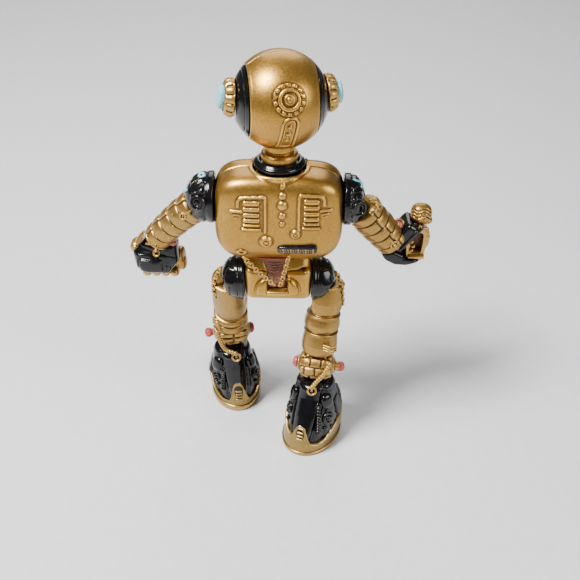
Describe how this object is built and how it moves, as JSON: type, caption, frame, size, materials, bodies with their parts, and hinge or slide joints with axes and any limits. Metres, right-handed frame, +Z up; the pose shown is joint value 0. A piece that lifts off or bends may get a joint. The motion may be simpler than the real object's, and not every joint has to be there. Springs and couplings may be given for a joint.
{
  "type": "humanoid robot figure",
  "caption": "Posable humanoid robot figure in a walking stance, with a round turning head, swinging arms and legs, a closed fist, a gripping hand and heavy boots.",
  "frame": {"origin": "middle of the footprint, on the plane the soles stand on", "axes": "+Z up, -Y the way the robot faces, +X its own left"},
  "size_m": [0.087, 0.0432, 0.1221],
  "materials": {
    "gold_paint": "antique gold paint with fine metal flake and dark wash in the recesses",
    "black_paint": "gloss black",
    "cyan_paint": "satin turquoise",
    "red_paint": "satin coral red",
    "brown_paint": "red-brown wash over gold",
    "inner_plastic": "bare dark plastic"
  },
  "bodies": {
    "torso": {"torso_rear_shell": "gold_paint", "torso_front_shell": "gold_paint", "neck_collar": "black_paint", "lower_back_vent": "black_paint", "waist_block": "gold_paint", "waist_panel": "brown_paint", "pelvis_rear_shell": "gold_paint", "pelvis_front_shell": "gold_paint", "chain_bracket": "gold_paint", "left_waist_chain": "gold_paint", "right_waist_chain": "gold_paint"},
    "head": {"head_rear_shell": "gold_paint", "head_front_shell": "gold_paint", "neck_column": "gold_paint", "left_side_cap": "black_paint", "right_side_cap": "black_paint", "left_ear_knob": "gold_paint", "right_ear_knob": "gold_paint", "left_ear_lens": "cyan_paint", "right_ear_lens": "cyan_paint", "face_visor": "black_paint", "mouth_grille": "black_paint", "left_eye_lens": "cyan_paint", "right_eye_lens": "cyan_paint"},
    "left_arm": {"left_shoulder_dome": "black_paint", "left_shoulder_peg": "inner_plastic", "left_arm_tube": "gold_paint", "left_gauntlet": "black_paint", "left_hand": "gold_paint", "left_wrist_button": "red_paint", "left_shoulder_bead": "cyan_paint", "left_wrist_ring": "gold_paint"},
    "right_arm": {"right_shoulder_dome": "black_paint", "right_shoulder_peg": "inner_plastic", "right_arm_tube": "gold_paint", "right_gauntlet": "black_paint", "right_hand": "gold_paint", "right_wrist_button": "red_paint", "right_shoulder_ring": "cyan_paint"},
    "left_leg": {"left_hip_dome": "black_paint", "left_hip_peg": "inner_plastic", "left_thigh": "gold_paint", "left_knee_barrel": "gold_paint", "left_knee_outer_tip": "red_paint", "left_knee_inner_tip": "red_paint", "left_knee_cable": "gold_paint", "left_boot": "black_paint", "left_boot_sole": "gold_paint"},
    "right_leg": {"right_hip_dome": "black_paint", "right_hip_peg": "inner_plastic", "right_thigh": "gold_paint", "right_knee_barrel": "gold_paint", "right_knee_outer_tip": "red_paint", "right_knee_inner_tip": "red_paint", "right_knee_cable": "gold_paint", "right_boot": "black_paint", "right_boot_sole": "gold_paint"}
  },
  "joints": [
    {"name": "neck_turn", "type": "hinge", "parent": "torso", "child": "head", "pos_m": [-0.0001, 0.00353, 0.0914], "axis": [0, 0, 1], "continuous": true},
    {"name": "left_shoulder_swing", "type": "hinge", "parent": "torso", "child": "left_arm", "pos_m": [0.0175, 0.00353, 0.0808], "axis": [-1, 0, 0], "continuous": true},
    {"name": "right_shoulder_swing", "type": "hinge", "parent": "torso", "child": "right_arm", "pos_m": [-0.0177, 0.00353, 0.0808], "axis": [-1, 0, 0], "continuous": true},
    {"name": "left_hip_swing", "type": "hinge", "parent": "torso", "child": "left_leg", "pos_m": [0.0095, 0.00353, 0.0546], "axis": [-1, 0, 0], "range_deg": [-80, 65]},
    {"name": "right_hip_swing", "type": "hinge", "parent": "torso", "child": "right_leg", "pos_m": [-0.0097, 0.00353, 0.0546], "axis": [-1, 0, 0], "range_deg": [-50, 95]}
  ]
}
